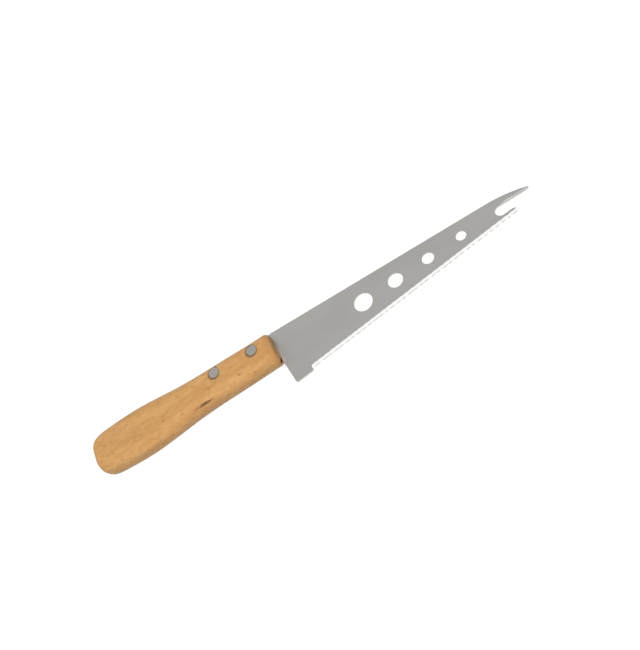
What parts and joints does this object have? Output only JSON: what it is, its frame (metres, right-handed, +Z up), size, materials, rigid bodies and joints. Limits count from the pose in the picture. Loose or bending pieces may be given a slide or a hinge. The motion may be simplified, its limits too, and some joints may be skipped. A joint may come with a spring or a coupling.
{
  "type": "cheese knife",
  "caption": "Slim cheese knife with a pierced steel blade that tapers to a two-pronged serving fork, a fluted cutting edge and a shaped beech handle riveted to a tang in a saw kerf.",
  "frame": {"origin": "On the surface that the knife lies on, under the middle of its bounding box.", "axes": "The knife lies on its side. +X runs along the spine to the tip of the blade, +Y across the blade from the cutting edge to the spine, and +Z up, out of the fluted face of the blade."},
  "size_m": [0.2734, 0.0352, 0.014],
  "materials": {
    "steel": "satin, ground along the blade, with a bright fluted bevel",
    "beech": "satin lacquer over sanded beech",
    "rivet_metal": "ground flush, matt"
  },
  "bodies": {
    "root": {"blade": "steel", "handle": "beech", "front_rivet_socket": "rivet_metal", "front_rivet_pin": "rivet_metal", "rear_rivet_socket": "rivet_metal", "rear_rivet_pin": "rivet_metal"}
  },
  "joints": []
}
